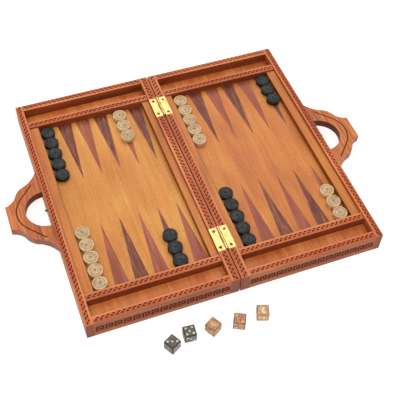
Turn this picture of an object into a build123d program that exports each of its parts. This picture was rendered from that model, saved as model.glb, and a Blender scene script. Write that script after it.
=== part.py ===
from build123d import *
import os

# A folding backgammon set, lying open. Two shallow wooden boxes are joined by two butt
# hinges along their inner rims, and fold over each other into a closed case with a hook
# at one side. The checkers stand on the inlaid points, and the dice lie in front.
#
# Board coordinates, mm: the hinge line is over x = 0, y runs from front to back with 0
# half way, and z = 0 is the table. The saved pieces are moved in y, so that the origin is
# under the middle of the whole set.

# ---- Driving dimensions: the board -------------------------------------------------------
half_width = 210.0              # hinge line to the outer face of one half
board_depth = 394.6             # front face to back face
board_height = 31.7             # table to rim
half_gap = 0.8                  # hinge line to the inner face of each half

outer_rail_thickness = 10.5
hinge_rail_thickness = 12.4
end_rail_thickness = 10.8       # front and back rails
divider_thickness = 11.1
divider_drop = 1.9              # rim to the divider's top
trough_width = 24.1             # end rail to divider

base_top = 16.0                 # table to the trough's floor
base_recess = 2.5               # table to the underside of the base board
tongue_bottom = 5.0             # table to the underside of the base board's tongue
tongue_thickness = 5.0
tongue_length = 4.0             # how far the tongue goes into the rails

playing_board_thickness = 2.3
inlay_depth = 1.2
point_length = 111.4
point_margin = 0.8              # liner to the first point's base

outer_liner_width = 13.6
hinge_liner_width = 11.0
liner_drop = 4.4                # rim to the top of the liners

# ---- Driving dimensions: handles ---------------------------------------------------------
handle_reach = 54.5             # rail to the outermost face
handle_half_length = 70.0       # along the rail
handle_tip_half = 20.0          # half of the flat outermost face
handle_thickness = 12.0
handle_drop = 4.7               # rim to the top of the handle
# The edge's points between rail and tip, as shares of the reach and of the half length.
ogee = [(0.156, 0.822), (0.385, 0.686), (0.578, 0.600), (0.697, 0.457), (0.813, 0.350)]
finger_hole_radius = 30.0
dowel_radius = 3.0
dowel_offset = 50.0             # from the middle of the handle
dowel_in_handle = 9.0
dowel_wall = 2.5                # wood left between the dowel's end and the inside

# ---- Driving dimensions: hinges and catch ------------------------------------------------
hinge_length = 38.0
hinge_from_end = 68.1           # end of the board to the middle of the hinge
hinge_rise = 0.25               # rim to the pin's axis
knuckle_radius = 2.2
knuckle_gap = 0.15              # between neighbouring knuckles
pin_radius = 1.0
pin_clearance = 0.05
barrel_clearance = 0.35         # knuckle to the hollow cut for it
leaf_thickness = 1.2
leaf_gap = 0.4                  # knuckle to the edge of the leaf
leaf_margin = 0.3               # leaf to the inner edge of the rail
screw_spacing = 27.0
screw_head_radius = 2.3
screw_shank_radius = 1.2
screw_length = 11.0
screw_slot_width = 0.6
screw_slot_depth = 0.45

stud_drop = 9.7                 # rim to the stud's axis
hook_pivot_drop = 6.0           # rim to the hook's screw
neck_radius = 1.2
neck_length = 1.8               # rail to the underside of a round head
round_head_radius = 2.1
round_head_height = 1.3
round_head_crown = 1.0          # rounding of the head
nail_depth = 7.0                # how far a stud or the hook's screw goes into the rail
hook_thickness = 1.0
hook_clearance = 0.05           # hook to its screw
hook_arm_width = 3.2
hook_eye_radius = 3.0
hook_end_radius = 2.8
throat_clearance = 0.35         # hook's throat to the stud

# ---- Driving dimensions: checkers and dice -----------------------------------------------
checker_diameter = 20.8
checker_thickness = 7.0
checker_gap = 0.4               # between neighbouring checkers
checker_edge = 1.0              # rounding of the rim
ring_radius = 7.0               # turned ring on both faces
ring_width = 0.6
ring_depth = 0.15
dimple_radius = 1.1
dimple_depth = 0.3
divider_clearance = 2.3         # divider to the first checker

die_size = 16.0
die_edge = 1.2
pip_radius = 1.35
pip_depth = 0.15
pip_spacing = 4.2

# ---- Places worked out from the driving dimensions ---------------------------------------
hinge_inner = half_gap + hinge_rail_thickness
outer_inner = half_width - outer_rail_thickness
end_outer = board_depth / 2
end_inner = end_outer - end_rail_thickness
divider_outer = end_inner - trough_width
divider_inner = divider_outer - divider_thickness

floor_top = base_top + playing_board_thickness
liner_top = board_height - liner_drop
floor_inner = hinge_inner + hinge_liner_width
floor_outer = outer_inner - outer_liner_width
point_base = checker_diameter
first_point = floor_inner + point_margin + point_base / 2
last_point = floor_outer - point_margin - point_base / 2
point_pitch = (last_point - first_point) / 5

handle_top = board_height - handle_drop
handle_middle = handle_top - handle_thickness / 2

pin_height = board_height + hinge_rise
hinge_middle = end_outer - hinge_from_end
leaf_inner = knuckle_radius + leaf_gap
leaf_outer = hinge_inner - leaf_margin
leaf_bottom = board_height - leaf_thickness
screw_x = (leaf_inner + leaf_outer) / 2

stud_height = board_height - stud_drop
hook_height = board_height - hook_pivot_drop
hook_length = 2 * hinge_rise + stud_drop + hook_pivot_drop

sides = {"left": -1, "right": 1}
os.makedirs("parts", exist_ok=True)


# ---- Helpers -----------------------------------------------------------------------------
def block(side, x_range, y_range, z_range):
    """A square-cut piece of one half, between three pairs of faces."""
    (x0, x1), (y0, y1), (z0, z1) = x_range, y_range, z_range
    centre = Pos(side * (x0 + x1) / 2, (y0 + y1) / 2, (z0 + z1) / 2)
    return centre * Box(x1 - x0, y1 - y0, z1 - z0)


def rod(axis_start, direction, radius, length):
    """A round bar that starts at a point and runs along a direction."""
    plane = Plane(origin=axis_start, z_dir=direction)
    return plane * Cylinder(radius, length, align=(Align.CENTER, Align.CENTER, Align.MIN))


# ---- The two halves: rails, boards, dividers and liners ----------------------------------
def base_board(side):
    """The bottom of one half, with a tongue all round that sits in the rails' grooves."""
    slab = block(side, (hinge_inner, outer_inner), (-end_inner, end_inner), (base_recess, base_top))
    tongue = block(
        side,
        (hinge_inner - tongue_length, outer_inner + tongue_length),
        (-end_inner - tongue_length, end_inner + tongue_length),
        (tongue_bottom, tongue_bottom + tongue_thickness),
    )
    return slab + tongue


def column_x(side, column):
    """The middle of a point; columns count 0 to 5 from left to right in either half."""
    if side < 0:
        return -last_point + column * point_pitch
    return first_point + column * point_pitch


def point(side, column, row):
    """One triangular inlay: row is -1 at the front and 1 at the back."""
    x = column_x(side, column)
    outline = Polyline(
        (x - point_base / 2, row * divider_inner),
        (x + point_base / 2, row * divider_inner),
        (x, row * (divider_inner - point_length)),
        close=True,
    )
    face = Plane.XY.offset(floor_top - inlay_depth) * make_face(outline)
    return extrude(face, inlay_depth, dir=(0, 0, 1))


def inlays(side, wood):
    """The six points of one wood in one half: at the front the first point is dark."""
    first = {"dark": {-1: 0, 1: 1}, "red": {-1: 1, 1: 0}}[wood]
    return [point(side, first[row] + step, row) for row in (-1, 1) for step in (0, 2, 4)]


def playing_board(side):
    board = block(
        side, (hinge_inner, outer_inner), (-divider_inner, divider_inner), (base_top, floor_top)
    )
    return board - inlays(side, "dark") - inlays(side, "red")


def divider(side, row):
    middle = row * (divider_inner + divider_outer) / 2
    return block(
        side,
        (hinge_inner, outer_inner),
        (middle - divider_thickness / 2, middle + divider_thickness / 2),
        (base_top, board_height - divider_drop),
    )


def liner(side, x_range):
    return block(side, x_range, (-divider_inner, divider_inner), (floor_top, liner_top))


def end_rail(side, row, base):
    middle = row * (end_inner + end_outer) / 2
    rail = block(
        side,
        (hinge_inner, outer_inner),
        (middle - end_rail_thickness / 2, middle + end_rail_thickness / 2),
        (0, board_height),
    )
    return rail - base


# ---- Handles -----------------------------------------------------------------------------
def handle(side):
    """A flat bracket with an ogee edge and a half-round finger hole against the rail."""

    def at(reach, along):
        return (side * (half_width + reach), along)

    def edge(row):
        """Hollow, bump and hollow, from the rail out to the flat tip."""
        hollow, dip, bump, crest, flare = [
            at(handle_reach * reach, row * handle_half_length * along) for reach, along in ogee
        ]
        return [
            ThreePointArc(at(0, row * handle_half_length), hollow, dip),
            ThreePointArc(dip, bump, crest),
            ThreePointArc(crest, flare, at(handle_reach, row * handle_tip_half)),
        ]

    outline = Wire(
        edge(1)
        + [Line(at(handle_reach, handle_tip_half), at(handle_reach, -handle_tip_half))]
        + edge(-1)
        + [Line(at(0, -handle_half_length), at(0, handle_half_length))]
    )
    bracket = extrude(
        Plane.XY.offset(handle_top - handle_thickness) * make_face(outline),
        handle_thickness,
        dir=(0, 0, 1),
    )
    hole = Pos(side * half_width, 0, handle_middle) * Cylinder(finger_hole_radius, handle_thickness)
    return bracket - hole


def dowels(side):
    """Two dowels that hold a handle's feet to the outer rail."""
    start = half_width - outer_rail_thickness + dowel_wall
    length = half_width + dowel_in_handle - start
    return [
        rod((side * start, row * dowel_offset, handle_middle), (side, 0, 0), dowel_radius, length)
        for row in (-1, 1)
    ]


# ---- Hinges and their screws -------------------------------------------------------------
def knuckle_spans(side):
    """Where along the hinge a leaf has knuckles: the ends on the left, the middle on the right."""
    third = hinge_length / 3
    if side < 0:
        return [(-hinge_length / 2, -third / 2 - knuckle_gap), (third / 2 + knuckle_gap, hinge_length / 2)]
    return [(-third / 2, third / 2)]


def hinge_leaf(side, row, screws):
    """A leaf let in flush with the rim, with its knuckles round the pin."""
    y = row * hinge_middle
    leaf = block(
        side,
        (leaf_inner, leaf_outer),
        (y - hinge_length / 2, y + hinge_length / 2),
        (leaf_bottom, board_height),
    )
    bore_radius = pin_radius if side < 0 else pin_radius + pin_clearance
    for start, end in knuckle_spans(side):
        leaf += block(side, (0, leaf_inner), (y + start, y + end), (leaf_bottom, board_height))
        leaf += rod((0, y + start, pin_height), (0, 1, 0), knuckle_radius, end - start)
    leaf -= rod((0, y - hinge_length / 2, pin_height), (0, 1, 0), bore_radius, hinge_length)
    return leaf - screws


def hinge_pin(row):
    start = (0, row * hinge_middle - hinge_length / 2, pin_height)
    return rod(start, (0, 1, 0), pin_radius, hinge_length)


def barrel_hollow(row):
    """The hollow that both rails share round a hinge's knuckles."""
    start = (0, row * hinge_middle - hinge_length / 2 - barrel_clearance, pin_height)
    length = hinge_length + 2 * barrel_clearance
    return rod(start, (0, 1, 0), knuckle_radius + barrel_clearance, length)


def screw_blanks(side):
    """Countersunk screws before their slots are cut, two in each leaf of this half."""
    head_height = screw_head_radius - screw_shank_radius
    head = Pos(0, 0, -head_height / 2) * Cone(screw_shank_radius, screw_head_radius, head_height)
    shank_length = screw_length - head_height
    shank = rod((0, 0, -head_height), (0, 0, -1), screw_shank_radius, shank_length)
    blank = head + shank
    return [
        Pos(side * screw_x, row * hinge_middle + end * screw_spacing / 2, board_height) * blank
        for row in (-1, 1)
        for end in (-1, 1)
    ]


def slotted(blank):
    """A screw with its slot, turned a little as a driver leaves it."""
    top = blank.bounding_box().max.Z
    centre = blank.bounding_box().center()
    slot = Box(2 * screw_head_radius, screw_slot_width, 2 * screw_slot_depth)
    return blank - Pos(centre.X, centre.Y, top) * Rot(0, 0, 35) * slot


# ---- The catch ---------------------------------------------------------------------------
def round_headed(side, height):
    """A round-headed nail or screw in an outer rail, at the middle of the handle."""
    start = Pos(side * half_width, 0, height)
    shank = rod((-side * nail_depth, 0, 0), (side, 0, 0), neck_radius, nail_depth + neck_length)
    head = rod((side * neck_length, 0, 0), (side, 0, 0), round_head_radius, round_head_height)
    crown = head.edges().filter_by(GeomType.CIRCLE).sort_by(Axis.X)[-1 if side > 0 else 0]
    return start * (shank + fillet(crown, round_head_crown))


def catch_hook():
    """A flat hook hanging from its screw, with its throat open towards the front."""
    end_height = hook_height - hook_length
    plate_start = half_width + (neck_length - hook_thickness) / 2

    def disc(height, radius):
        return rod((plate_start, 0, height), (1, 0, 0), radius, hook_thickness)

    plate_x = (plate_start, plate_start + hook_thickness)
    arm_y = (-hook_arm_width / 2, hook_arm_width / 2)
    hook = block(1, plate_x, arm_y, (end_height, hook_height))
    hook = hook + disc(hook_height, hook_eye_radius) + disc(end_height, hook_end_radius)
    throat_radius = neck_radius + throat_clearance
    throat = block(
        1,
        plate_x,
        (-2 * hook_end_radius, 0),
        (end_height - throat_radius, end_height + throat_radius),
    )
    hook = hook - disc(hook_height, neck_radius + hook_clearance)
    return hook - disc(end_height, throat_radius) - throat


# ---- Checkers ----------------------------------------------------------------------------
def turned_checker():
    """A turned disc, centred on its axis and standing on z = 0: ring and dimple on both faces."""
    radius = checker_diameter / 2
    disc = Pos(0, 0, checker_thickness / 2) * Cylinder(radius, checker_thickness)
    disc = fillet(disc.edges().filter_by(GeomType.CIRCLE), checker_edge)
    ring = Cylinder(ring_radius + ring_width / 2, 2 * ring_depth)
    ring = ring - Cylinder(ring_radius - ring_width / 2, 2 * ring_depth)
    dimple = Cylinder(dimple_radius, 2 * dimple_depth)
    for face in (0, checker_thickness):
        disc = disc - Pos(0, 0, face) * ring - Pos(0, 0, face) * dimple
    return disc


def checker_place(side, column, row, count):
    """The middle of a checker: count is 0 against the divider, and grows towards the tips."""
    step = checker_diameter + checker_gap
    along = divider_inner - divider_clearance - checker_diameter / 2 - count * step
    return Pos(column_x(side, column), row * along, floor_top)


# ---- Dice --------------------------------------------------------------------------------
def pip_grid(value):
    """Where the pips of a face are, in steps from its middle."""
    middle = [(0, 0)] if value % 2 else []
    diagonal = [(-1, 1), (1, -1)] if value > 1 else []
    other_diagonal = [(1, 1), (-1, -1)] if value > 3 else []
    sides_of_six = [(-1, 0), (1, 0)] if value == 6 else []
    return middle + diagonal + other_diagonal + sides_of_six


def blank_die():
    cube = Pos(0, 0, die_size / 2) * Box(die_size, die_size, die_size)
    return fillet(cube.edges(), die_edge)


def pipped_die(top, front, right):
    """A die with drilled pips, opposite faces adding up to seven."""
    half = die_size / 2
    faces = {
        (0, 0, 1): top,
        (0, 0, -1): 7 - top,
        (0, -1, 0): front,
        (0, 1, 0): 7 - front,
        (1, 0, 0): right,
        (-1, 0, 0): 7 - right,
    }
    pips = []
    for normal, value in faces.items():
        outward = Vector(*normal)
        across = Vector(0, 1, 0) if normal[0] else Vector(1, 0, 0)
        up = outward.cross(across)
        bottom = Vector(0, 0, half) + outward * (half - pip_depth)
        for u, v in pip_grid(value):
            centre = bottom + across * (u * pip_spacing) + up * (v * pip_spacing)
            pips.append(rod(centre, outward, pip_radius, 2 * pip_depth))
    return blank_die() - pips


# Each die's place: x, distance in front of the board, and turn about z in degrees.
die_places = {
    "dark_die_left": (-112.0, 48.0, 29.0),
    "dark_die_right": (-86.5, 41.2, -5.0),
    "tan_die_left": (-54.5, 42.2, 30.0),
    "tan_die_right": (-19.5, 46.0, -27.0),
    "doubling_cube": (13.5, 44.5, -18.0),
}
die_faces = {
    "dark_die_left": (3, 5, 6),
    "dark_die_right": (5, 3, 1),
    "tan_die_left": (1, 3, 2),
    "tan_die_right": (2, 4, 6),
}
dice = {}
for name, (x, in_front, turn) in die_places.items():
    die = pipped_die(*die_faces[name]) if name in die_faces else blank_die()
    dice[name] = Pos(x, -end_outer - in_front, 0) * Rot(0, 0, turn) * die

# ---- Saving: the origin is under the middle of the set's box -----------------------------
set_front = min(die.bounding_box().min.Y for die in dice.values())
set_middle = (set_front + end_outer) / 2


def save(name, *solids):
    """Write one node: a single solid, or a group of like solids."""
    shape = solids[0] if len(solids) == 1 else Compound(list(solids))
    export_step(Pos(0, -set_middle, 0) * shape, f"parts/{name}.step")


for half, side in sides.items():
    base = base_board(side)
    half_screws = screw_blanks(side)
    half_dowels = dowels(side)
    leaves = {
        where: hinge_leaf(side, row, half_screws) for where, row in (("front", -1), ("back", 1))
    }
    catch_piece = round_headed(side, stud_height if side < 0 else hook_height)

    outer_rail = block(side, (outer_inner, half_width), (-end_outer, end_outer), (0, board_height))
    outer_rail = outer_rail - base - half_dowels - catch_piece

    hinge_rail = block(side, (half_gap, hinge_inner), (-end_outer, end_outer), (0, board_height))
    hinge_rail = hinge_rail - base - half_screws
    for row in (-1, 1):
        hollow_start = row * hinge_middle - hinge_length / 2
        leaf_recess = block(
            side,
            (half_gap, leaf_outer),
            (hollow_start, hollow_start + hinge_length),
            (leaf_bottom, board_height),
        )
        hinge_rail = hinge_rail - leaf_recess - barrel_hollow(row)

    save(f"{half}_outer_rail", outer_rail)
    save(f"{half}_hinge_rail", hinge_rail)
    save(f"{half}_front_rail", end_rail(side, -1, base))
    save(f"{half}_back_rail", end_rail(side, 1, base))
    save(f"{half}_base_board", base)
    save(f"{half}_playing_board", playing_board(side))
    save(f"{half}_dark_points", *inlays(side, "dark"))
    save(f"{half}_red_points", *inlays(side, "red"))
    save(f"{half}_front_divider", divider(side, -1))
    save(f"{half}_back_divider", divider(side, 1))
    save(f"{half}_outer_liner", liner(side, (floor_outer, outer_inner)))
    save(f"{half}_hinge_liner", liner(side, (hinge_inner, floor_inner)))
    save(f"{half}_handle", handle(side) - half_dowels)
    save(f"{half}_handle_dowels", *half_dowels)
    save(f"{half}_hinge_screws", *[slotted(blank) for blank in half_screws])
    for where, leaf in leaves.items():
        save(f"{where}_hinge_{half}_leaf", leaf)
    save("catch_stud" if side < 0 else "hook_screw", catch_piece)

save("front_hinge_pin", hinge_pin(-1))
save("back_hinge_pin", hinge_pin(1))
save("catch_hook", catch_hook())

# Each column of checkers: half, colour, row, column and how many stand in it. The one
# nearest to the tips is the one that plays next, so it is a piece by itself.
checker_columns = [
    ("left", "dark", 1, 0, 5),
    ("left", "light", 1, 4, 3),
    ("left", "light", -1, 0, 5),
    ("left", "dark", -1, 4, 3),
    ("right", "light", 1, 0, 5),
    ("right", "dark", 1, 5, 3),
    ("right", "dark", -1, 0, 5),
    ("right", "light", -1, 5, 3),
]
checker = turned_checker()
for half, colour, row, column, count in checker_columns:
    where = "front" if row < 0 else "back"
    placed = [checker_place(sides[half], column, row, number) * checker for number in range(count)]
    save(f"{half}_{where}_{colour}_row", *placed[:-1])
    save(f"{half}_{where}_{colour}_lead", placed[-1])

for name, die in dice.items():
    save(name, die)
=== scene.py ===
import math
import random

import bmesh
import bpy
from mathutils import Matrix, Vector


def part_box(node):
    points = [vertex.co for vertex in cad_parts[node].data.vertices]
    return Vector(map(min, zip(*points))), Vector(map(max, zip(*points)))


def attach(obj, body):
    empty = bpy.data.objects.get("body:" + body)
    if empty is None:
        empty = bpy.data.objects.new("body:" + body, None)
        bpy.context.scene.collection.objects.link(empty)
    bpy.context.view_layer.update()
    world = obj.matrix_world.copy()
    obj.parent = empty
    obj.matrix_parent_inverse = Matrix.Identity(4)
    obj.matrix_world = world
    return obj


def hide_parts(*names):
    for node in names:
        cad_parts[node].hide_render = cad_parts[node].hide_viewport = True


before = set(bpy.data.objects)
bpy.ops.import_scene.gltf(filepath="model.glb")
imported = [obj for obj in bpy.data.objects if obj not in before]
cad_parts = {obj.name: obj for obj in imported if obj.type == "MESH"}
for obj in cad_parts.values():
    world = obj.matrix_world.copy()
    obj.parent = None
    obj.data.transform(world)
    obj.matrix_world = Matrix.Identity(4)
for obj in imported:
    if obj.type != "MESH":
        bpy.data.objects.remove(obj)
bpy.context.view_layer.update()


# ---- The studio ----------------------------------------------------------------------------
# A white glass table, lit a little from below, under two large soft lamps and a pale sky.
# The camera stands to the front left and looks down into the open case.
table_size = 40.0


def tint(code):
    """A colour from its six-figure code, as linear red, green and blue."""
    parts = [int(code[i:i + 2], 16) / 255 for i in (0, 2, 4)]
    linear = [c / 12.92 if c <= 0.04045 else ((c + 0.055) / 1.055) ** 2.4 for c in parts]
    return (*linear, 1.0)


def grey(value):
    """A linear grey from 0, black, to 1, white."""
    return (value, value, value, 1.0)


def new_material(name, roughness, metallic=0.0, specular=0.25):
    """A material with its node tree and its shader, which takes colour, roughness and bump."""
    material = bpy.data.materials.new(name)
    material.use_nodes = True
    shader = material.node_tree.nodes["Principled BSDF"]
    shader.inputs["Roughness"].default_value = roughness
    shader.inputs["Metallic"].default_value = metallic
    shader.inputs["Specular IOR Level"].default_value = specular
    return material, material.node_tree, shader


def noise(tree, size, detail=2.0, twist=0.0, shift=0.0):
    """Noise on the piece itself, whose blotches are size = (x, y, z) metres."""
    place = tree.nodes.new("ShaderNodeTexCoord")
    stretch = tree.nodes.new("ShaderNodeMapping")
    stretch.inputs["Scale"].default_value = [1 / length for length in size]
    stretch.inputs["Location"].default_value = (shift, shift, shift)
    cloud = tree.nodes.new("ShaderNodeTexNoise")
    cloud.inputs["Scale"].default_value = 1.0
    cloud.inputs["Detail"].default_value = detail
    cloud.inputs["Distortion"].default_value = twist
    tree.links.new(place.outputs["Object"], stretch.inputs["Vector"])
    tree.links.new(stretch.outputs["Vector"], cloud.inputs["Vector"])
    return cloud.outputs["Fac"]


def ramp(tree, value, stops):
    """Turns a value into a colour by stops of (value, colour)."""
    node = tree.nodes.new("ShaderNodeValToRGB")
    elements = node.color_ramp.elements
    while len(elements) < len(stops):
        elements.new(0.5)
    for element, (position, colour) in zip(elements, stops):
        element.position = position
        element.color = colour
    tree.links.new(value, node.inputs["Fac"])
    return node.outputs["Color"]


def new_object(name, data):
    """An object of the scene that shows a mesh, a curve, some type, a lamp or a camera."""
    thing = bpy.data.objects.new(name, data)
    bpy.context.scene.collection.objects.link(thing)
    return thing


def new_piece(name, shape, materials):
    """An object whose mesh is the shape, which is used up; its faces number the materials."""
    mesh = bpy.data.meshes.new(name)
    shape.to_mesh(mesh)
    shape.free()
    for material in materials:
        mesh.materials.append(material)
    return new_object(name, mesh)


table_paint, tree, shader = new_material("table_paint", 0.7)
mottle = noise(tree, (0.4, 0.4, 0.4))
tree.links.new(
    ramp(tree, mottle, [(0.3, tint("BCBCBC")), (0.7, tint("C0C0C0"))]), shader.inputs["Base Color"]
)
shader.inputs["Emission Color"].default_value = grey(1.0)
shader.inputs["Emission Strength"].default_value = 0.7
table_shape = bmesh.new()
bmesh.ops.create_grid(table_shape, x_segments=1, y_segments=1, size=table_size / 2)
table = new_piece("table", table_shape, [table_paint])

sky = bpy.data.worlds.new("studio_walls")
sky.use_nodes = True
sky.node_tree.nodes["Background"].inputs["Color"].default_value = (1.0, 0.97, 0.91, 1.0)
sky.node_tree.nodes["Background"].inputs["Strength"].default_value = 0.8
bpy.context.scene.world = sky
bpy.context.scene.view_settings.view_transform = "Standard"


def soft_lamp(name, place, size, power):
    """A square lamp that faces the middle of the table."""
    light = bpy.data.lights.new(name, "AREA")
    light.shape = "SQUARE"
    light.size = size
    light.energy = power
    lamp = new_object(name, light)
    lamp.location = place
    lamp.rotation_euler = Vector(place).to_track_quat("Z", "Y").to_euler()


soft_lamp("back_lamp", (0.35, 1.0, 1.5), 1.2, 13.0)
soft_lamp("front_lamp", (-0.5, -0.9, 1.5), 1.0, 11.0)

camera_data = bpy.data.cameras.new("camera")
camera_data.lens = 71.93
camera_data.sensor_width = 36.0
camera = new_object("camera", camera_data)
camera.location = (-0.27038, -0.65399, 0.92058)
camera.rotation_euler = (0.6507, -0.0328, -0.3576)
bpy.context.scene.camera = camera


# ---- Base boards ---------------------------------------------------------------------------
# One thin board of golden hardwood closes the bottom of each half. It is planed smooth,
# its grain runs from front to back, and its tongue sits in grooves of the four rails.
mm = 0.001
sides = ("left", "right")


def mixed(tree, kind, factor, first, second):
    """Two colours mixed by a share of the second."""
    node = tree.nodes.new("ShaderNodeMix")
    node.data_type = "RGBA"
    node.blend_type = kind
    node.inputs[0].default_value = factor
    tree.links.new(first, node.inputs[6])
    tree.links.new(second, node.inputs[7])
    return node.outputs[2]


def spread(tree, value, low, high):
    """Noise, which keeps to about 0.3 to 0.7, carried to the range from low to high."""
    node = tree.nodes.new("ShaderNodeMapRange")
    node.inputs["From Min"].default_value = 0.3
    node.inputs["From Max"].default_value = 0.7
    node.inputs["To Min"].default_value = low
    node.inputs["To Max"].default_value = high
    tree.links.new(value, node.inputs["Value"])
    return node.outputs["Result"]


def bumped(tree, shader, height, depth, strength=0.5):
    """Feeds a height into the shader's normal, depth in metres."""
    node = tree.nodes.new("ShaderNodeBump")
    node.inputs["Strength"].default_value = strength
    node.inputs["Distance"].default_value = depth
    tree.links.new(height, node.inputs["Height"])
    tree.links.new(node.outputs["Normal"], shader.inputs["Normal"])


def wood(
    name, deep, main, pale, grain="y", width=7.0, shine=0.42, streaks=1.0, shift=0.0, patchy=0.42
):
    """Oiled hardwood: broad figure, fine fibres and short open pores, all along the grain."""
    material, tree, shader = new_material(name, shine)

    def along(across, length):
        size = {"x": across, "y": across, "z": across, grain: length}
        return [size[axis] * mm for axis in "xyz"]

    figure = noise(tree, along(width, 22 * width), 3.0, 0.7, shift)
    patch = noise(tree, along(38.0, 90.0), 1.0, 0.4, shift + 3.0)
    fibre = noise(tree, along(0.9, 26.0), 3.0, 0.2, shift + 5.0)
    pores = noise(tree, along(0.45, 4.5), 1.0, 0.0, shift + 9.0)
    stops = [(0.32, tint(deep)), (0.5, tint(main)), (0.68, tint(pale))]
    colour = mixed(tree, "MIX", patchy, ramp(tree, figure, stops), ramp(tree, patch, stops))
    fibres = ramp(tree, fibre, [(0.35, grey(1 - 0.2 * streaks)), (0.62, grey(1.0))])
    colour = mixed(tree, "MULTIPLY", 0.9, colour, fibres)
    open_pores = ramp(tree, pores, [(0.3, grey(0.55)), (0.4, grey(1.0))])
    colour = mixed(tree, "MULTIPLY", 0.8, colour, open_pores)
    tree.links.new(colour, shader.inputs["Base Color"])
    tree.links.new(spread(tree, fibre, shine - 0.07, shine + 0.1), shader.inputs["Roughness"])
    bumped(tree, shader, pores, 0.12 * mm, 0.35)
    return material


def finish_node(name, material):
    """Gives a piece of the frame that keeps its own shape its finish."""
    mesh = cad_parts[name].data
    mesh.materials.clear()
    mesh.materials.append(material)


base_wood = wood("base_wood", "B45A2A", "D07438", "E09250", width=12.0)
for side in sides:
    finish_node(f"{side}_base_board", base_wood)


# ---- Playing boards and their inlaid points ------------------------------------------------
# Each half has a golden playing board, edge-glued from strips that run front to back.
# Six rosewood and six red hardwood points are let in flush and sanded with the board.
field_woods = {
    "left": wood("left_field_wood", "BC7430", "CB853B", "D79848", width=8.0, patchy=0.6),
    "right": wood(
        "right_field_wood", "B26230", "C47436", "D08A3E", width=12.0, shift=2.7, patchy=0.62
    ),
}
dark_inlay = wood("dark_inlay", "582016", "763626", "A46A4A", width=1.5, streaks=2.2, patchy=0.1)
red_inlay = wood("red_inlay", "843C2A", "984C34", "AC6448", width=3.5, patchy=0.2)
for side in sides:
    finish_node(f"{side}_playing_board", field_woods[side])
    finish_node(f"{side}_dark_points", dark_inlay)
    finish_node(f"{side}_red_points", red_inlay)


# ---- Rails ---------------------------------------------------------------------------------
# Four hardwood rails frame each half: an outer and a hinge rail of full depth, with the end
# rails between them. Their rims are chip-carved by hand, the end rails' outsides have a sunk
# frieze of square hooks, and the pits and hooks are painted dark as painted shade.
rim_wood, arris_and_strip_finish, wall_wood, end_wood, band_wood, outer_wood = range(6)
arris = 0.5 * mm
hinge_rail_arris = 0.22 * mm    # less than the wood left beside a hinge leaf
band_edges = (0.27, 0.73)       # the carved band, as shares of the rim's width from outside
pit_rows = (0.39, 0.61)         # the pits' middles, as shares of the rim's width
pit_pitch = 7.0 * mm
pit_depth = 1.0 * mm
pit_lift = 0.3 * mm             # how far the cutter stands proud of the rim
pit_margin = 4.0 * mm
pit_corners = [(-2.7, -1.2), (2.5, -1.2), (0.9, 1.75)]
pit_rim = 10.8 * mm             # the width of rim that the corners are drawn for
leaf_margin = 2.0 * mm          # plain rim left beside a hinge leaf
frieze_pitch = 12.2 * mm
frieze_bottom = 8.0 * mm
frieze_top = 21.5 * mm
frieze_end = 0.8 * mm
ground_depth = 0.35 * mm
hook_depth = 1.1 * mm
hook_margin = 1.2 * mm
hook_width = 0.8 * frieze_pitch
# A square hook on a grid of fifths, as a carver lays it out.
hook_corners = [
    (0, 0), (1, 0), (1, 4), (4, 4), (4, 2), (3, 2), (3, 3), (2, 3), (2, 1), (5, 1), (5, 5), (0, 5)
]


def rail_set(grain, wall, deep, main, pale):
    """A rail's six finishes, in the order of their names above; wall names the inner one."""
    return [
        wood(f"rail_wood_{grain}", "964018", "AC5226", "BE6C38", grain),
        # The eased top edges and the inner strip of the rim take this paler, glossier finish.
        wood(f"pale_rail_{grain}", "B45A2E", "C66E3E", "D68852", grain, shine=0.36),
        wood(f"{wall}_wall_{grain}", deep, main, pale, grain, shine=0.5),
        wood(f"end_grain_{grain}", "6C3826", "80442E", "965840", "z", width=1.2, shine=0.55),
        wood(f"band_wood_{grain}", "9A3E18", "B25226", "C66C3A", grain, shine=0.46),
        # The outer faces are painted darker and duller than the rim: painted shade.
        wood(f"outer_face_{grain}", "844829", "9C5630", "B26C42", grain, shine=0.5),
    ]


def cut_colour(name, deep, pale):
    """Cut wood, coloured unevenly between a deep and a pale tone; dark in pits, hooks and grooves as
    painted shade.
    """
    material, tree, shader = new_material(name, 0.8, 0.0, 0.1)
    soot = noise(tree, (1.6 * mm, 1.6 * mm, 0.8 * mm), 3.0)
    tree.links.new(
        ramp(tree, soot, [(0.35, tint(deep)), (0.7, tint(pale))]), shader.inputs["Base Color"]
    )
    bumped(tree, shader, soot, 0.1 * mm)
    return material


def worked_copy(node):
    """The shape of a node, with its corners joined, its flat faces whole and one finish."""
    shape = bmesh.new()
    shape.from_mesh(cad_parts[node].data)
    bmesh.ops.remove_doubles(shape, verts=shape.verts, dist=0.002 * mm)
    bmesh.ops.dissolve_limit(
        shape, angle_limit=math.radians(0.5), verts=shape.verts, edges=shape.edges
    )
    for face in shape.faces:
        face.smooth = False
        face.material_index = 0
    return shape


def ease(shape, low, high, width):
    """Rounds the long edges where two faces of the piece's box meet, in the second finish."""

    def planes(point):
        found = set()
        for axis in range(3):
            for end, limit in ((0, low[axis]), (1, high[axis])):
                if abs(point[axis] - limit) < 0.01 * mm:
                    found.add((axis, end))
        return found

    edges = []
    for edge in shape.edges:
        shared = planes(edge.verts[0].co) & planes(edge.verts[1].co)
        if len(shared) >= 2:
            edges.append(edge)
    bmesh.ops.bevel(
        shape, geom=edges, offset=width, segments=2, profile=0.5, affect="EDGES",
        clamp_overlap=True, material=arris_and_strip_finish,
    )


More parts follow.
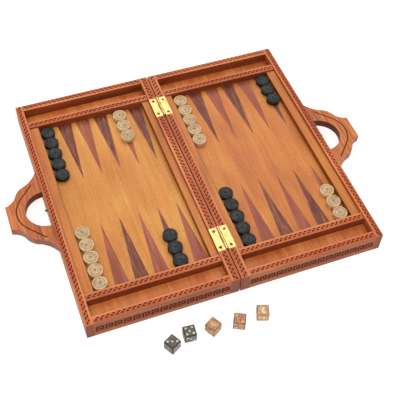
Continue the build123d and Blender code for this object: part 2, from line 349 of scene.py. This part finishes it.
def paint_rail(shape, low, high, axis, outer_low):
    """Chooses each face's finish by its place across the rail, from its outer side inwards."""
    width = high[axis] - low[axis]
    for share in band_edges:
        place = low.copy()
        place[axis] = low[axis] + width * (share if outer_low else 1 - share)
        normal = Vector((0, 0, 0))
        normal[axis] = 1
        bmesh.ops.bisect_plane(
            shape, geom=shape.verts[:] + shape.edges[:] + shape.faces[:], dist=1e-7,
            plane_co=place, plane_no=normal,
        )
    band_from, band_to = band_edges
    for face in shape.faces:
        if face.material_index == arris_and_strip_finish:
            if abs(face.normal.z) < 0.1:
                face.material_index = outer_wood
            continue
        middle = face.calc_center_median()
        share = (middle[axis] - low[axis]) / width
        share = share if outer_low else 1 - share
        if face.normal.z > 0.9 and middle.z > high.z - 0.1 * mm:
            if share < band_from:
                face.material_index = rim_wood
            else:
                face.material_index = band_wood if share < band_to else arris_and_strip_finish
        elif abs(face.normal[axis]) > 0.9:
            face.material_index = wall_wood if share > 0.5 else outer_wood
        elif abs(face.normal.y) > 0.9:
            face.material_index = end_wood


def cut(piece, cutter, material):
    """Takes the cutter's solids out of the piece; the cut faces take the given finish."""
    bmesh.ops.recalc_face_normals(cutter, faces=cutter.faces)
    tool = new_piece("cutter", cutter, [material])
    change = piece.modifiers.new("cut", "BOOLEAN")
    change.object = tool
    change.operation = "DIFFERENCE"
    change.solver = "EXACT"
    change.material_mode = "TRANSFER"
    view = bpy.context.evaluated_depsgraph_get()
    piece.data = bpy.data.meshes.new_from_object(piece.evaluated_get(view))
    piece.modifiers.clear()
    bpy.data.objects.remove(tool)


def pits(start, along, across, length, width, keep_off):
    """Triangular pits in two staggered rows, leaving a zigzag of plain wood between them."""
    cutter = bmesh.new()
    up = Vector((0, 0, 1))
    grow = 1 + pit_lift / pit_depth
    count = int((length - 2 * pit_margin) / pit_pitch) + 1
    first = (length - (count - 0.5) * pit_pitch) / 2
    for k in range(count):
        for row, share in enumerate(pit_rows):
            turn = -1 if row else 1
            reach = first + (k + 0.5 * row) * pit_pitch + draw.uniform(-0.25, 0.25) * mm
            scale = draw.uniform(0.92, 1.06)
            lean = draw.uniform(-0.3, 0.3) * mm
            if any(low < reach < high for low, high in keep_off):
                continue
            middle = start + along * reach + across * (share * width)
            apex = middle + along * lean - up * pit_depth
            corners = []
            for u, v in pit_corners:
                offset = (along * u + across * v * width / pit_rim) * (turn * scale * mm)
                corners.append(cutter.verts.new(apex + (middle + offset - apex) * grow))
            tip = cutter.verts.new(apex)
            cutter.faces.new(corners)
            for i in range(3):
                cutter.faces.new([corners[i], corners[(i + 1) % 3], tip])
    return cutter


def carved(node, woods, axis, outer_low, easing=arris, keep_off=(), dark_sides=False):
    """A rail or a divider whose width lies along an axis, eased, and carved along its rim."""
    low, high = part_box(node)
    size = high - low
    shape = worked_copy(node)
    ease(shape, low, high, easing)
    paint_rail(shape, low, high, axis, outer_low)
    # Painted shade: both sides across the axis take the dark wall finish.
    if dark_sides:
        for face in shape.faces:
            if abs(face.normal[axis]) > 0.9:
                face.material_index = wall_wood
    piece = new_piece(f"{node}_carved", shape, woods)
    start = Vector((low.x, low.y, high.z))
    along = Vector((axis, 1 - axis, 0))
    across = Vector((1 - axis, axis, 0))
    if not outer_low:
        start[axis] = high[axis]
        across = -across
    cut(piece, pits(start, along, across, size[1 - axis], size[axis], keep_off), painted_pit_shade)
    return piece


def prism(shape, outline, start, end):
    """A closed solid between two copies of an outline; start and end place its corners."""
    lower = [shape.verts.new(start(u, v)) for u, v in outline]
    upper = [shape.verts.new(end(u, v)) for u, v in outline]
    shape.faces.new(lower)
    shape.faces.new(reversed(upper))
    for i in range(len(outline)):
        j = (i + 1) % len(outline)
        shape.faces.new([lower[i], upper[i], upper[j], lower[j]])


def frieze(piece, low, high, outward):
    """A sunk band of square hooks on the outer face of an end rail.

    Each cutter starts just outside the wood that it takes away.
    """
    y = low.y if outward < 0 else high.y
    length = high.x - low.x
    height = frieze_top - frieze_bottom

    def at(depth):
        return lambda u, v: Vector((low.x + u, y - outward * depth, low.z + frieze_bottom + v))

    band = bmesh.new()
    left, right = frieze_end, length - frieze_end
    outline = [(left, 0), (right, 0), (right, height), (left, height)]
    prism(band, outline, at(-0.5 * mm), at(ground_depth))
    cut(piece, band, frieze_ground)
    hooks = bmesh.new()
    count = int((right - left) / frieze_pitch)
    first = (length - (count - 1) * frieze_pitch - hook_width) / 2
    step = hook_width / 5
    rise = (height - 2 * hook_margin) / 5
    for k in range(count):
        corners = [
            (first + k * frieze_pitch + u * step, hook_margin + v * rise) for u, v in hook_corners
        ]
        prism(hooks, corners, at(0.2 * mm), at(hook_depth))
    cut(piece, hooks, frieze_dark)


# The x rails' wall finish is dark: painted shade on the end rails' inner walls and the dividers'
# sides.
rails_x = rail_set("x", "painted_shade", "6A2C14", "843C1E", "9C5028")
rails_y = rail_set("y", "plain", "8E4420", "A6542A", "BA6C3A")
# Painted shade: the pits are coloured near black for the shade inside them.
painted_pit_shade = cut_colour("shaded_pits", "421605", "78300C")
frieze_ground = cut_colour("frieze_ground", "7A4230", "925640")
# Painted shade: the sunk hooks are coloured dark for the shade inside them.
frieze_dark = cut_colour("frieze_hooks", "40180C", "682816")
draw = random.Random(20)
for side in sides:
    for part, easing in (("outer_rail", arris), ("hinge_rail", hinge_rail_arris)):
        node = f"{side}_{part}"
        outer_low = (part == "outer_rail") == (side == "left")
        keep_off = []
        if part == "hinge_rail":
            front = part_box(node)[0].y
            for row in ("front", "back"):
                low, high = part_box(f"{row}_hinge_{side}_leaf")
                keep_off.append((low.y - front - leaf_margin, high.y - front + leaf_margin))
        piece = carved(node, rails_y, 0, outer_low, easing, keep_off)
        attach(piece, f"{side}_half")
        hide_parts(node)
    for part, outward in (("front_rail", -1), ("back_rail", 1)):
        node = f"{side}_{part}"
        piece = carved(node, rails_x, 1, outward < 0)
        frieze(piece, *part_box(node), outward)
        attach(piece, f"{side}_half")
        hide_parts(node)


# ---- Dividers ------------------------------------------------------------------------------
# A divider fences each trough off from the playing board. It is rail wood, glued between
# the long rails, with the same carved band on its rim and dark sides, which are painted shade.
for side in sides:
    for row in ("front", "back"):
        node = f"{side}_{row}_divider"
        piece = carved(node, rails_x, 1, True, dark_sides=True)
        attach(piece, f"{side}_half")
        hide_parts(node)


# ---- Liners --------------------------------------------------------------------------------
# Plain golden strips stand on the playing board along the outer and the hinge rail. Their
# arrises are eased and painted darker, a painted shadow in the joint against the rail, and
# their sides are painted darker as painted shade.
liner_arris = 0.6 * mm
# On the top, on the eased edges and on the sides; the edges and the sides are painted darker as
# shade.
liner_woods = [
    wood("liner_wood", "A45C28", "BE6E30", "CC843E", width=5.0, shift=6.1),
    wood("liner_arris", "7E4018", "965022", "A8602C", width=5.0),
    wood("liner_side", "6E3410", "843F14", "98501E", width=5.0),
]
for side in sides:
    for part in ("outer_liner", "hinge_liner"):
        node = f"{side}_{part}"
        shape = worked_copy(node)
        ease(shape, *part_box(node), liner_arris)
        # Painted shade: the sides take the dark side finish.
        for face in shape.faces:
            if abs(face.normal.x) > 0.9:
                face.material_index = 2
        piece = new_piece(f"{node}_eased", shape, liner_woods)
        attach(piece, f"{side}_half")
        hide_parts(node)


# ---- Handles -------------------------------------------------------------------------------
# Each handle is sawn from one board to an ogee edge, with a half-round finger hole. Its
# edges are rounded over, a line is scribed round the hole, and two dowels hold its feet.
handle_face, handle_edge, hole_wall = range(3)
handle_round = 1.3 * mm
hole_reach = 31.0 * mm          # just outside the finger hole's wall
groove_centre = 3.8 * mm
groove_radius = 38.0 * mm
groove_half_angle = math.radians(43)
groove_steps = 20               # of each half of the arc
groove_tail = 30.0 * mm
groove_width = 0.95 * mm
handle_woods = [
    wood("handle_wood", "9A4420", "BE6832", "D48A4C", width=4.0, streaks=1.8, shift=4.4, patchy=0.2),
    wood("handle_edge", "6E4030", "845040", "986450", width=5.0),
    # Painted shade: the finger hole's wall is much darker than the outer edge.
    wood("hole_wall", "4A180C", "642612", "7C361C", shine=0.55),
]
dowel_wood = wood("dowel_wood", "C89058", "D8A468", "E4B880", "x")
# Painted shade: the scribed groove is coloured dark for the shade in it.
scribed = cut_colour("scribed_line", "542008", "84401A")


def scribe(piece, middle, sign, height):
    """Cuts the round-bottomed line: an arc about the hole that runs out straight at its ends."""
    line = []
    for step in range(-groove_steps, groove_steps + 1):
        angle = groove_half_angle * step / groove_steps
        out = groove_centre + groove_radius * math.cos(angle)
        line.append((out, groove_radius * math.sin(angle)))
    tail_out = line[-1][0] - groove_tail * math.sin(groove_half_angle)
    tail_along = line[-1][1] + groove_tail * math.cos(groove_half_angle)
    line = [(tail_out, -tail_along)] + line + [(tail_out, tail_along)]
    path = bpy.data.curves.new("scribe", "CURVE")
    path.dimensions = "3D"
    path.bevel_depth = groove_width
    path.bevel_resolution = 2
    path.use_fill_caps = True
    spline = path.splines.new("POLY")
    spline.points.add(len(line) - 1)
    for point, (out, along) in zip(spline.points, line):
        point.co = (middle.x + sign * out, middle.y + along, height, 1)
    tube = new_object("scribe", path)
    cutter = bmesh.new()
    cutter.from_mesh(bpy.data.meshes.new_from_object(tube))
    bmesh.ops.remove_doubles(cutter, verts=cutter.verts, dist=0.001 * mm)
    cut(piece, cutter, scribed)
    bpy.data.objects.remove(tube)


for side, sign in (("left", -1), ("right", 1)):
    node = f"{side}_handle"
    low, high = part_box(node)
    rail_face = high.x if sign < 0 else low.x
    middle = Vector((rail_face, (low.y + high.y) / 2, 0))
    shape = worked_copy(node)
    sharp_edges = []
    for edge in shape.edges:
        upright = [abs(face.normal.z) < 0.1 for face in edge.link_faces]
        at_rail = all(abs(vert.co.x - rail_face) < 0.05 * mm for vert in edge.verts)
        if sorted(upright) == [False, True] and not at_rail:
            sharp_edges.append(edge)
    for face in shape.faces:
        # Faces inside the finger hole take the painted-shade finish.
        if abs(face.normal.z) < 0.1:
            reach = (face.calc_center_median() - middle).xy.length
            face.material_index = hole_wall if reach < hole_reach else handle_edge
    bmesh.ops.bevel(
        shape, geom=sharp_edges, offset=handle_round, segments=3, profile=0.5, affect="EDGES",
        clamp_overlap=True, material=handle_face,
    )
    piece = new_piece(f"{node}_shaped", shape, handle_woods)
    scribe(piece, middle, sign, high.z)
    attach(piece, f"{side}_half")
    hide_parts(node)
    finish_node(f"{side}_handle_dowels", dowel_wood)


# ---- Hinges --------------------------------------------------------------------------------
# Two small brass butt hinges are let in flush with the rims. Their leaves are stamped and
# polished along their length, and dark countersunk screws hold them.
def polished(name, deep, main, roughness, grain="y"):
    """Polished metal with fine rubbing marks along one axis and a few dull patches."""
    material, tree, shader = new_material(name, roughness, 1.0, 0.5)
    size = {"x": 0.25, "y": 0.25, "z": 0.25, grain: 9.0}
    rubs = noise(tree, [size[axis] * mm for axis in "xyz"], 2.0)
    dull = noise(tree, (6 * mm, 9 * mm, 6 * mm), 3.0, 0.6)
    tree.links.new(
        ramp(tree, dull, [(0.32, tint(deep)), (0.6, tint(main))]), shader.inputs["Base Color"]
    )
    tree.links.new(spread(tree, dull, roughness + 0.12, roughness - 0.06), shader.inputs["Roughness"])
    bumped(tree, shader, rubs, 0.02 * mm, 0.3)
    return material


brass = polished("hinge_brass", "BCA064", "CAAE72", 0.36)
pin_brass = polished("pin_brass", "A88440", "C8A258", 0.42)
screw_metal = polished("screw_metal", "4A3A18", "6E5A2C", 0.4)
for row in ("front", "back"):
    for side in sides:
        finish_node(f"{row}_hinge_{side}_leaf", brass)
    finish_node(f"{row}_hinge_pin", pin_brass)
for side in sides:
    finish_node(f"{side}_hinge_screws", screw_metal)


# ---- Catch ---------------------------------------------------------------------------------
# A round-headed stud in the left outer rail takes a flat brass hook, which hangs from a
# screw in the right outer rail and swings over the stud when the case is shut.
dark_metal = polished("stud_metal", "2A2826", "4A4644", 0.35)
finish_node("catch_stud", dark_metal)
finish_node("hook_screw", screw_metal)
hook_brass = polished("hook_brass", "B09050", "D0B478", 0.3, "z")
piece = new_piece("catch_hook_stamped", worked_copy("catch_hook"), [hook_brass])
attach(piece, "catch_hook")
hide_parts("catch_hook")


# ---- Checkers ------------------------------------------------------------------------------
# Thirty-two checkers, turned on a lathe from pale bone-coloured wood and from wood dyed
# charcoal: a rounded rim, fine rings cut with the point of a tool, and a centre hole.
checker_radius = 10.4
checker_thickness = 7.0
checker_gap = 0.4               # between neighbours in a row
checker_step = (2 * checker_radius + checker_gap) * mm
turning_steps = 72
plain, edge, hole, ring = range(4)
# One face from its middle to the rim: radius, depth under the face, and finish.
face_line = [
    (0.0, 1.1, hole), (0.85, 1.0, hole), (1.1, 0.15, plain), (1.35, 0.0, plain),
    (2.9, 0.0, ring), (3.15, 0.16, ring), (3.4, 0.0, plain),
    (6.6, 0.0, ring), (6.85, 0.24, ring), (7.1, 0.0, plain),
    (7.9, 0.0, ring), (8.15, 0.24, ring), (8.4, 0.0, edge),
    (9.4, 0.0, edge), (9.9, 0.12, edge), (10.25, 0.48, edge), (checker_radius, 1.0, edge),
]


def hoop(shape, place, radius, height, steps):
    """One ring of a turned solid's corners, in mm about the origin, or a corner on the axis."""
    lift = Vector((0, 0, height * mm))
    if radius == 0:
        return [shape.verts.new(place(lift))] * steps
    corners = []
    for k in range(steps):
        angle = 2 * math.pi * k / steps
        out = Vector((math.cos(angle), math.sin(angle), 0)) * radius * mm
        corners.append(shape.verts.new(place(out + lift)))
    return corners


def skin(shape, one, other):
    """The faces between two hoops, which are triangles where a hoop is one corner."""
    faces = []
    for k in range(len(one)):
        j = (k + 1) % len(one)
        corners = [one[k], other[k], other[j], one[j]]
        faces.append(shape.faces.new(list(dict.fromkeys(corners))))
    return faces


def turned(shape, centre, line):
    """A lathe-turned solid from (radius, height, finish) points that start and end on the axis."""
    hoops = []
    for radius, height, finish in line:
        hoops.append(hoop(shape, lambda corner: centre + corner, radius, height, turning_steps))
    for inner, outer, (radius, height, finish) in zip(hoops, hoops[1:], line):
        for face in skin(shape, inner, outer):
            face.material_index = finish
            face.smooth = True


def checker_finish(name, deep, main, pale, shine, specular=0.3):
    """Turned and waxed wood, cloudy rather than straight-grained."""
    material, tree, shader = new_material(name, shine, 0.0, specular)
    cloud = noise(tree, (7 * mm, 7 * mm, 7 * mm), 3.0, 0.8)
    specks = noise(tree, (0.8 * mm, 1.6 * mm, 0.8 * mm), 2.0)
    colour = ramp(tree, cloud, [(0.33, tint(deep)), (0.5, tint(main)), (0.66, tint(pale))])
    dots = ramp(tree, specks, [(0.33, grey(0.7)), (0.48, grey(1.0))])
    tree.links.new(mixed(tree, "MULTIPLY", 0.7, colour, dots), shader.inputs["Base Color"])
    tree.links.new(spread(tree, specks, shine + 0.1, shine - 0.05), shader.inputs["Roughness"])
    bumped(tree, shader, specks, 0.05 * mm, 0.4)
    return material


# The rings and the centre hole are painted darker than the face, as painted shade in the grooves and
# the hole; the charcoal checkers' rims are painted darker too, as painted shade on their sides.
checker_finishes = {
    "dark": [
        checker_finish("dark_checker_face", "1E2223", "2A2E2F", "3A3F3E", 0.42, 0.18),
        checker_finish("dark_checker_rim", "141616", "1D2121", "2A2E2E", 0.38, 0.18),
        checker_finish("dark_checker_hole", "101010", "181818", "202020", 0.6, 0.18),
        checker_finish("dark_checker_ring", "161819", "1E2222", "2A2E2E", 0.5, 0.18),
    ],
    "light": [
        checker_finish("light_checker_face", "A28868", "B89A76", "C8AC88", 0.45),
        checker_finish("light_checker_rim", "B89668", "C8A67A", "D6B88E", 0.42),
        checker_finish("light_checker_hole", "4A4030", "5E5240", "70644E", 0.6),
        checker_finish("light_checker_ring", "7C6850", "907A5E", "A08A6C", 0.55),
    ],
}
top_line = [(r, checker_thickness - d, f) for r, d, f in face_line]
foot_line = [(r, d, f) for r, d, f in reversed(face_line)]
for side in sides:
    for row in ("back", "front"):
        for colour, finishes in checker_finishes.items():
            for share in ("row", "lead"):
                node = f"{side}_{row}_{colour}_{share}"
                low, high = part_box(node)
                shape = bmesh.new()
                for k in range(round((high.y - low.y) / checker_step)):
                    y = low.y + checker_radius * mm + k * checker_step
                    turned(shape, Vector(((low.x + high.x) / 2, y, low.z)), top_line + foot_line)
                bmesh.ops.recalc_face_normals(shape, faces=shape.faces)
                piece = new_piece(f"{node}_turned", shape, finishes)
                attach(piece, node)
                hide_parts(node)


# ---- Dice ----------------------------------------------------------------------------------
# Two dark and two tan dice with ringed pips, and a tan doubling cube with engraved numbers.
# They are cut from small bars, tumbled until the edges are round, and the marks are filled.
die_size = 16.0
die_edge = 1.3
pip_spacing = 4.2
mark_depth = 0.45
mark_lift = 0.3
mark_steps = 28
die_turns = {
    "dark_die_left": 29.0,
    "dark_die_right": -5.0,
    "tan_die_left": 30.0,
    "tan_die_right": -27.0,
    "doubling_cube": -18.0,
}
# The numbers on the top, front and right faces; opposite faces add up to seven.
die_faces = {
    "dark_die_left": (3, 5, 6),
    "dark_die_right": (5, 3, 1),
    "tan_die_left": (1, 3, 2),
    "tan_die_right": (2, 4, 6),
}
cube_numbers = ("2", "4", "8", "16", "32", "64")
# The top, front, right, left, back and bottom faces.
normals = [(0, 0, 1), (0, -1, 0), (1, 0, 0), (-1, 0, 0), (0, 1, 0), (0, 0, -1)]
# Rings as (inner radius, outer radius): a dot alone, or a dot in one or two rings.
marks = {
    "dark": [(0.0, 1.5)],
    "tan": [(0.0, 0.6), (1.1, 1.75)],
    "ace": [(0.0, 0.7), (1.3, 1.9), (2.9, 3.6)],
}


def pip_grid(value):
    """Where the pips of a face are, in steps from its middle."""
    middle = [(0, 0)] if value % 2 else []
    diagonal = [(-1, 1), (1, -1)] if value > 1 else []
    other_diagonal = [(1, 1), (-1, -1)] if value > 3 else []
    sides_of_six = [(-1, 0), (1, 0)] if value == 6 else []
    return middle + diagonal + other_diagonal + sides_of_six


def face_place(normal):
    """Carries a mark drawn flat about the origin onto the middle of a face."""
    outward = Vector(normal)
    turn = outward.to_track_quat("Z", "Y").to_matrix().to_4x4()
    return Matrix.Translation(outward * die_size / 2 * mm) @ turn


def ring_mark(cutter, place, centre, inner, outer):
    """A ring or a dot that reaches from above the face down to the mark's depth."""
    hoops = []
    for radius, height in (
        (inner, mark_lift), (outer, mark_lift), (outer, -mark_depth), (inner, -mark_depth)
    ):
        hoops.append(
            hoop(cutter, lambda corner: place @ (centre + corner), radius, height, mark_steps)
        )
    if inner > 0:
        hoops.append(hoops[0])
    for one, other in zip(hoops, hoops[1:]):
        skin(cutter, one, other)


def number_mark(cutter, place, text):
    """An engraved number, from plain type turned into a closed solid."""
    type_face = bpy.data.curves.new("number", "FONT")
    type_face.body = text
    type_face.size = (11.0 if len(text) == 1 else 9.0) * mm
    type_face.align_x = "CENTER"
    type_face.align_y = "CENTER"
    type_face.extrude = mark_depth * mm
    stamp = new_object("number", type_face)
    mesh = bpy.data.meshes.new_from_object(stamp)
    mesh.transform(place)
    cutter.from_mesh(mesh)
    bpy.data.objects.remove(stamp)


def die_finish(name, deep, main, pale):
    """Tumbled wood or horn, cloudy, with fine scratches."""
    return checker_finish(name, deep, main, pale, 0.4)


# Painted shade: each die's rounded edges are darker than its faces.
die_woods = {
    "dark": [
        die_finish("dark_die", "403E3A", "5A564E", "726E62"),
        die_finish("dark_die_edge", "1E2022", "2A2C2E", "3A3C3E"),
    ],
    "tan": [
        die_finish("tan_die", "8C5C38", "A6744A", "BC8E62"),
        die_finish("tan_die_edge", "5C4030", "785440", "926C52"),
    ],
    "doubling": [
        die_finish("doubling_face", "A8825C", "C0986E", "D0AC82"),
        die_finish("doubling_edge", "7C5E46", "927256", "A8886A"),
    ],
}
mark_fill = {
    "dark": die_finish("dark_die_fill", "B8B4A8", "CCC8BC", "DCD8CE"),
    "tan": die_finish("tan_die_fill", "E0C4A4", "F0D8BC", "F8E8D2"),
    "doubling": die_finish("doubling_fill", "ECDCC4", "F6EAD6", "FCF4E6"),
}
for node, turn in die_turns.items():
    kind = node.split("_")[0]
    low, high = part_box(node)
    shape = bmesh.new()
    bmesh.ops.create_cube(shape, size=die_size * mm)
    bmesh.ops.bevel(
        shape, geom=shape.edges[:], offset=die_edge * mm, segments=4, profile=0.5, affect="EDGES",
        clamp_overlap=True, material=1,
    )
    piece = new_piece(f"{node}_marked", shape, die_woods[kind])
    cutter = bmesh.new()
    if kind == "doubling":
        for normal, text in zip(normals, cube_numbers):
            number_mark(cutter, face_place(normal), text)
        bmesh.ops.remove_doubles(cutter, verts=cutter.verts, dist=0.001 * mm)
    else:
        top, front, right = die_faces[node]
        for normal, value in zip(normals, (top, front, right, 7 - right, 7 - front, 7 - top)):
            rings = marks["ace"] if kind == "tan" and value == 1 else marks[kind]
            for u, v in pip_grid(value):
                spot = Vector((u, v, 0)) * pip_spacing * mm
                for inner, outer in rings:
                    ring_mark(cutter, face_place(normal), spot, inner, outer)
    cut(piece, cutter, mark_fill[kind])
    place = Matrix.Translation((low + high) / 2) @ Matrix.Rotation(math.radians(turn), 4, "Z")
    piece.data.transform(place)
    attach(piece, node)
    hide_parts(node)
